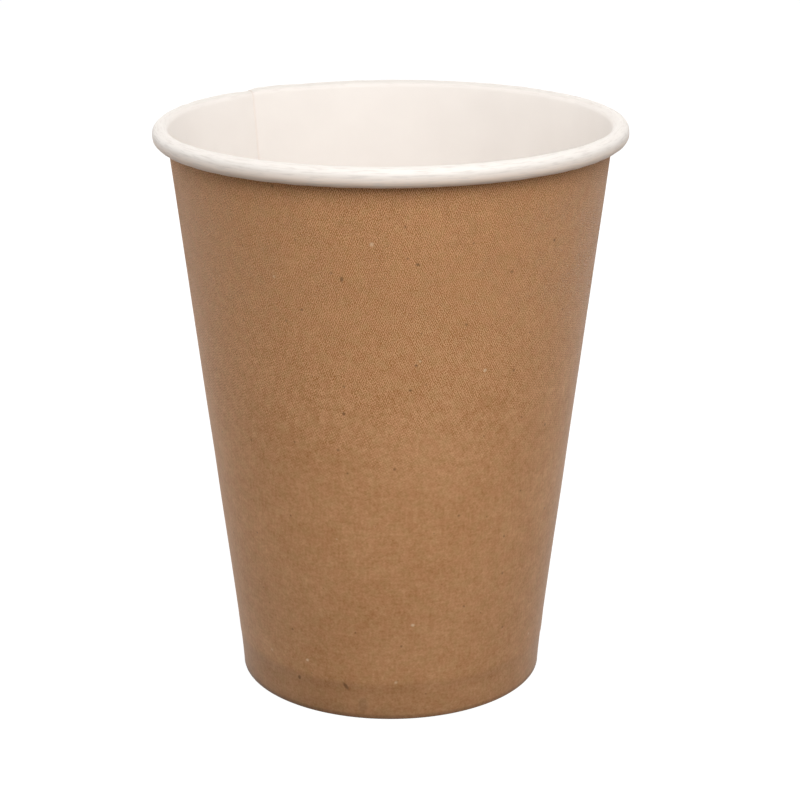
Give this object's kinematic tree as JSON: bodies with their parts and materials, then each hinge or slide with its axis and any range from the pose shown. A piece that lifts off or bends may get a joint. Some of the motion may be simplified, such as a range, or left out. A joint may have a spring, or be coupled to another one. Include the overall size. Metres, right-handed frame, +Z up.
{
  "type": "paper coffee cup",
  "caption": "Single-wall kraft paper cup: tapered body with a lapped side seam, rolled rim, folded hem and recessed bottom disc; white inside and open at the top.",
  "frame": {"origin": "centre of the foot ring, on the surface the cup stands on", "axes": "+Z up along the cup's axis, -Y towards the camera of the picture, +X to its right"},
  "size_m": [0.09, 0.09, 0.1105],
  "materials": {
    "kraft_board": "matte kraft outside, white coated inside",
    "white_board": "white, thin satin film"
  },
  "bodies": {
    "root": {"sidewall": "kraft_board", "bottom_disc": "white_board"}
  },
  "joints": []
}
